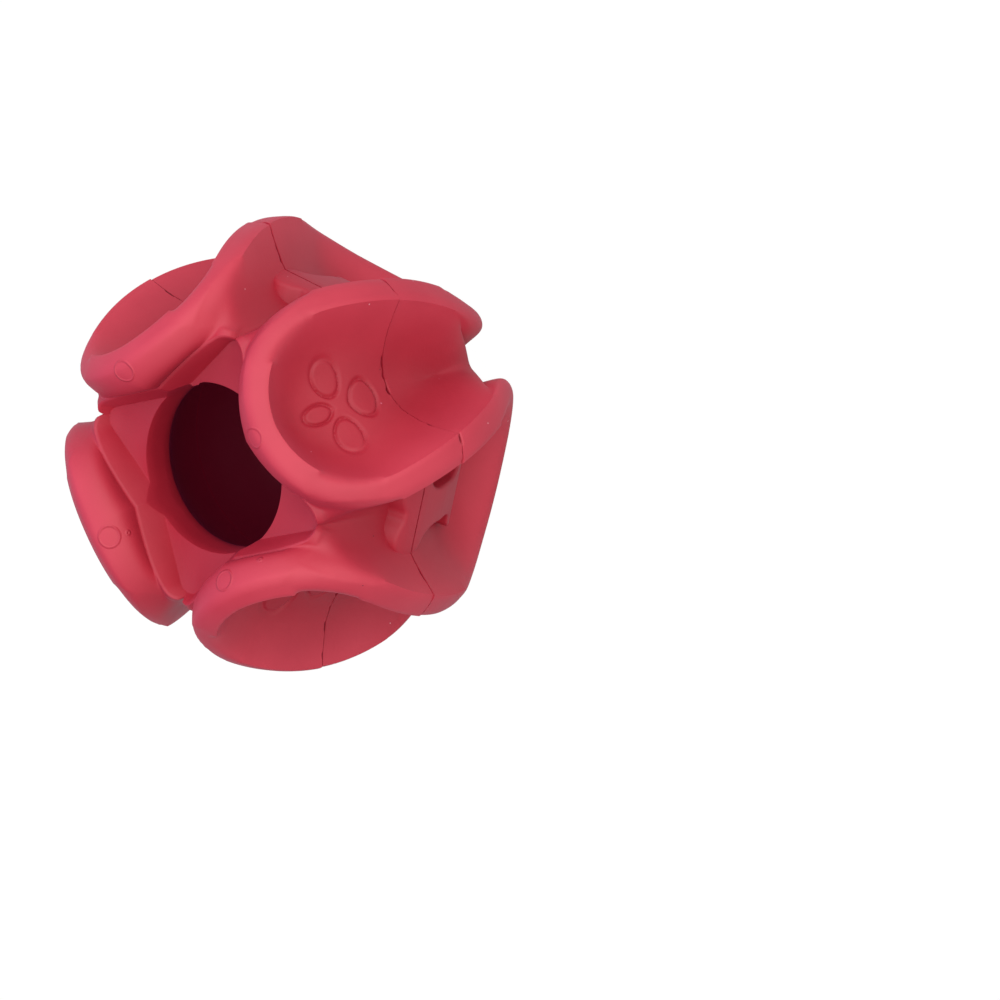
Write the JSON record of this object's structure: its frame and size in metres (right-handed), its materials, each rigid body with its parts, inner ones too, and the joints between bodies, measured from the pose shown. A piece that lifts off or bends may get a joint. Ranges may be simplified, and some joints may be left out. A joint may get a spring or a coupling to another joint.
{
  "type": "treat dispensing ball",
  "caption": "Moulded rubber ball toy for a dog, with scooped dishes round a hollow treat chamber and a round opening in a star-shaped recess.",
  "frame": {"origin": "on the axis through the opening, level with the tips of the four lobes round the closed base, which the ball stands on", "axes": "+Z along the axis, up and out of the opening; +X points midway between a paw lobe and a bone lobe"},
  "size_m": [0.08, 0.08, 0.0674],
  "materials": {
    "rubber": "satin",
    "bond": "satin"
  },
  "bodies": {
    "root": {"paw_half": "rubber", "bone_half": "rubber", "seam_bond": "bond"}
  },
  "joints": []
}
